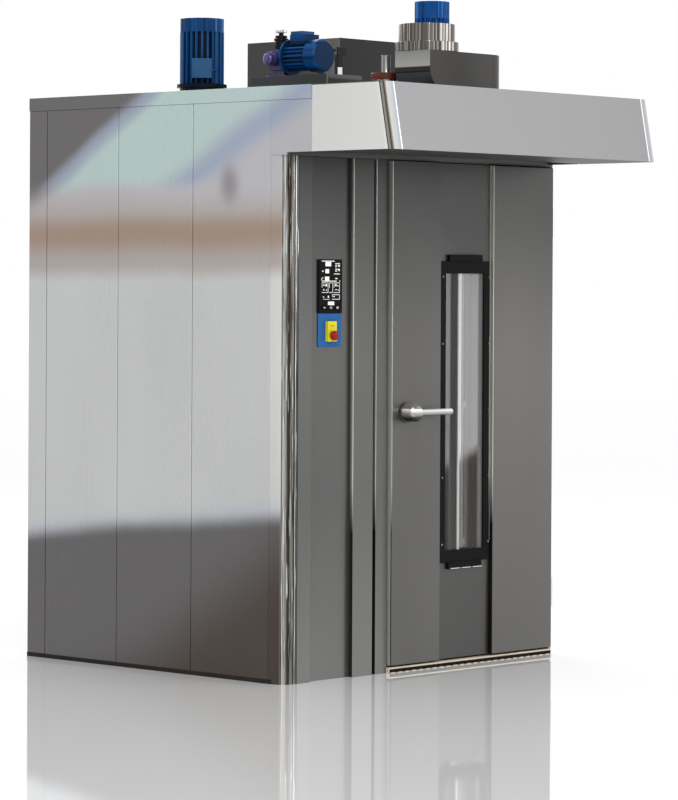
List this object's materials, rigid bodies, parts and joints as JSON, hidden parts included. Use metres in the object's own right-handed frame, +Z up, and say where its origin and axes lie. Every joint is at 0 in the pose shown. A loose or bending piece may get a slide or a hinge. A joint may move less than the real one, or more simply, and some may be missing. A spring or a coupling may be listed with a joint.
{
  "type": "rotating rack oven",
  "caption": "Insulated upright bakery oven with a windowed front door, a recessed control bay, an extraction canopy, and a fan, rack drive, flue box and blower on its roof",
  "frame": {"origin": "middle of the footprint of the whole oven with its canopy, on the floor", "axes": "+Z up, +Y towards the back, +X to the right when facing the door"},
  "size_m": [1.624, 2.013, 2.6636],
  "materials": {
    "beige": "beige painted sill",
    "black": "black frame and panel",
    "black_metal": "blackened steel",
    "blue_plate": "blue painted plate",
    "cast_iron": "dark cast and tubular steel",
    "front_steel": "dark satin stainless sheet",
    "galvanised": "grey coated sheet",
    "gear_purple": "purple gloss paint",
    "glass": "clear tempered glass",
    "inner_steel": "plain stainless sheet of the chamber",
    "key_white": "light grey keys",
    "lamp_white": "white lamp tube",
    "motor_blue": "blue gloss paint",
    "polished": "polished stainless",
    "red": "red moulded button",
    "rubber": "dark silicone seal",
    "side_steel": "bright brushed stainless sheet",
    "yellow": "yellow moulded box"
  },
  "bodies": {
    "body": {"floor_pan": "inner_steel", "left_panel_front": "side_steel", "left_panel_middle": "side_steel", "left_panel_rear": "side_steel", "right_wall": "side_steel", "rear_wall": "side_steel", "corner_column": "polished", "ceiling_panel": "inner_steel", "roof_deck": "side_steel", "canopy_roof": "side_steel", "control_fascia": "front_steel", "door_jamb": "front_steel", "jamb_trim": "front_steel", "door_stop": "front_steel", "hinge_post": "front_steel", "front_header": "side_steel", "threshold": "beige", "air_wall": "inner_steel", "heater_bank": "cast_iron", "steam_cascade": "cast_iron", "lamp_tube": "lamp_white", "canopy_cover": "side_steel", "canopy_left_side": "side_steel", "canopy_right_side": "side_steel", "canopy_gutter": "galvanised", "hinge_bottom_bracket": "polished", "hinge_top_bracket": "polished", "keypad_panel": "black", "switch_plate": "blue_plate", "stop_box": "yellow", "fan_motor": "motor_blue", "drive_stand": "galvanised", "gear_motor": "motor_blue", "gearbox": "gear_purple", "drive_chain": "black_metal", "flue_box": "galvanised", "blower_base": "galvanised", "blower_scroll": "galvanised", "blower_bell": "polished", "blower_motor": "motor_blue", "steam_pipe": "polished"},
    "door": {"door_core": "front_steel", "door_left_skin": "front_steel", "door_right_skin": "front_steel", "window_frame": "black", "outer_glass": "glass", "inner_glass": "glass", "door_gasket": "rubber", "hinge_bottom_leaf": "polished", "hinge_top_leaf": "polished"},
    "handle": {"handle_lever": "polished", "latch_tongue": "polished"},
    "stop_button": {"stop_button": "red"},
    "key_start": {"key_start": "key_white"},
    "key_light": {"key_light": "key_white"},
    "key_steam": {"key_steam": "key_white"},
    "fan_wheel": {"fan_wheel": "inner_steel"},
    "blower_wheel": {"blower_wheel": "inner_steel"},
    "rack_hook": {"rack_hook": "inner_steel"},
    "drive_sprocket": {"drive_sprocket": "black_metal"}
  },
  "joints": [
    {"name": "door_swing", "type": "hinge", "parent": "body", "child": "door", "pos_m": [0.799, -0.4645, 1.03], "axis": [0, 0, 1], "range_deg": [0, 120]},
    {"name": "handle_turn", "type": "hinge", "parent": "door", "child": "handle", "pos_m": [-0.128, -0.5055, 1.031], "axis": [0, 1, 0], "range_deg": [0, 90]},
    {"name": "stop_press", "type": "slide", "parent": "body", "child": "stop_button", "axis": [0, 1, 0], "range_m": [0, 0.005], "stiffness_N_per_m": 900},
    {"name": "key_start_press", "type": "slide", "parent": "body", "child": "key_start", "axis": [0, 1, 0], "range_m": [0, 0.001], "stiffness_N_per_m": 1500},
    {"name": "key_light_press", "type": "slide", "parent": "body", "child": "key_light", "axis": [0, 1, 0], "range_m": [0, 0.001], "stiffness_N_per_m": 1500},
    {"name": "key_steam_press", "type": "slide", "parent": "body", "child": "key_steam", "axis": [0, 1, 0], "range_m": [0, 0.001], "stiffness_N_per_m": 1500},
    {"name": "fan_spin", "type": "hinge", "parent": "body", "child": "fan_wheel", "pos_m": [-0.51, 0.3015, 2], "axis": [0, 0, 1], "continuous": true},
    {"name": "blower_spin", "type": "hinge", "parent": "body", "child": "blower_wheel", "pos_m": [-0.058, -0.5395, 2.4], "axis": [0, 0, 1], "continuous": true},
    {"name": "rack_turn", "type": "hinge", "parent": "body", "child": "rack_hook", "pos_m": [0.22, 0.296, 2.3], "axis": [0, 0, 1], "continuous": true},
    {"name": "drive_spin", "type": "hinge", "parent": "body", "child": "drive_sprocket", "pos_m": [-0.01, 0.33684, 2.5], "axis": [0, 0, 1], "continuous": true}
  ],
  "couplings": [
    {"joint": "drive_spin", "follows": "rack_turn", "ratio": 1.5}
  ]
}
